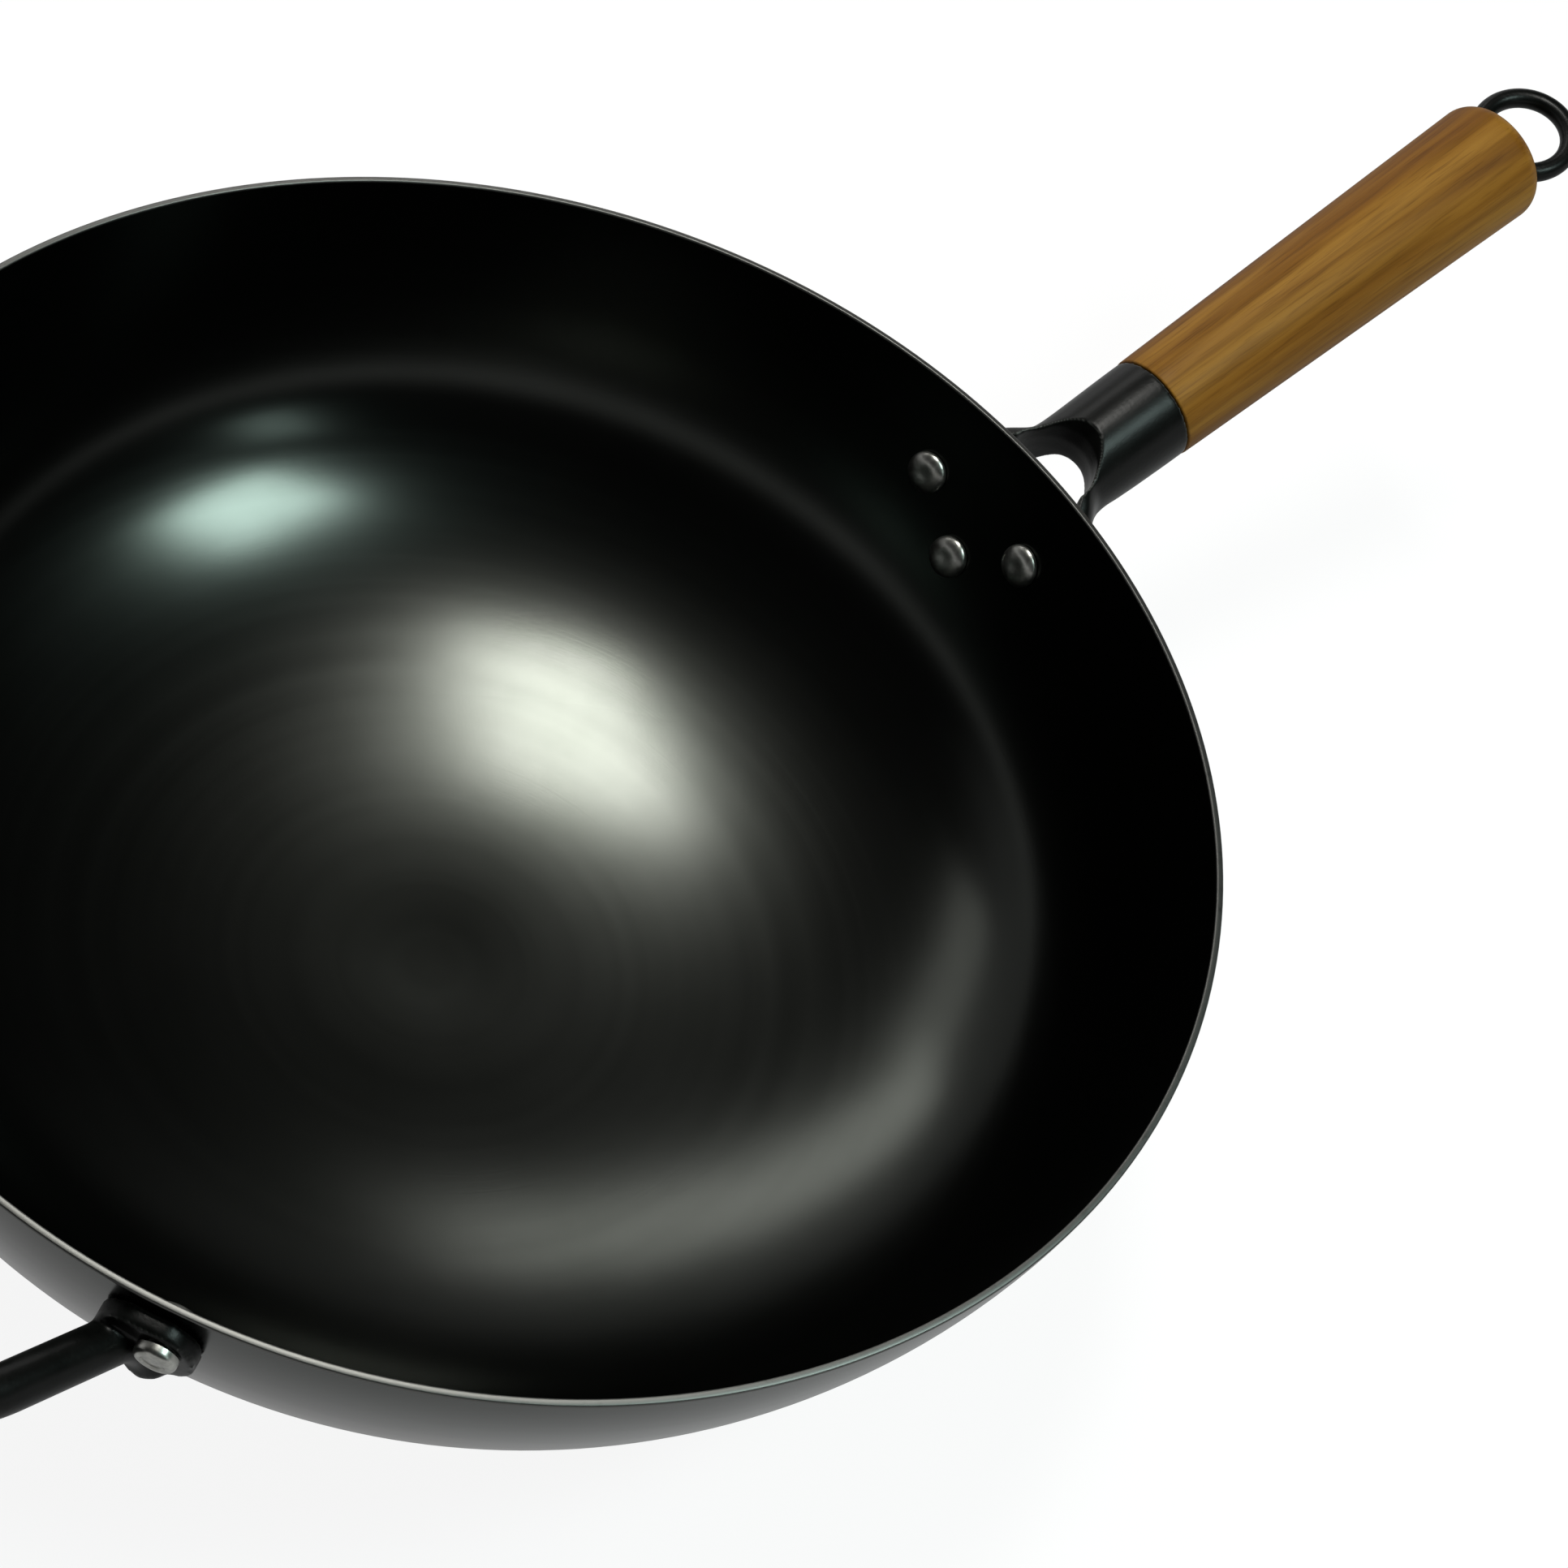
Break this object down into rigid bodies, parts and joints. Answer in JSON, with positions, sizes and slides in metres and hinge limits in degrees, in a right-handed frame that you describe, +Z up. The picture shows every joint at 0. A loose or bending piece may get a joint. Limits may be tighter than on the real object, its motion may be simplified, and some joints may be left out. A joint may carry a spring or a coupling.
{
  "type": "flat-bottom wok",
  "caption": "Flat-bottomed spun steel wok with a forked bracket, turned wooden grip with a hanging eye, and a bent-bar helper handle opposite.",
  "frame": {"origin": "centre of the flat base, on its underside", "axes": "+Z up out of the bowl's mouth, +X from the base centre under the long handle, -X under the helper handle"},
  "size_m": [0.568, 0.32, 0.1361],
  "materials": {
    "bowl_steel": "blackened satin, spun lines",
    "black_coating": "satin black",
    "rivet_steel": "dull bright steel",
    "stained_wood": "stained, satin lacquer"
  },
  "bodies": {
    "wok": {"wok_bowl": "bowl_steel", "handle_bracket": "black_coating", "handle_rivet_left": "rivet_steel", "handle_rivet_right": "rivet_steel", "handle_rivet_lower": "rivet_steel", "wood_grip": "stained_wood", "helper_handle": "black_coating", "helper_rivet_left": "rivet_steel", "helper_rivet_right": "rivet_steel"},
    "eye": {"hanging_eye": "black_coating"}
  },
  "joints": [
    {"name": "eye_turn", "type": "hinge", "parent": "wok", "child": "eye", "pos_m": [0.3464, 0, 0.1246], "axis": [0.9559, 0, 0.2937], "continuous": true}
  ]
}
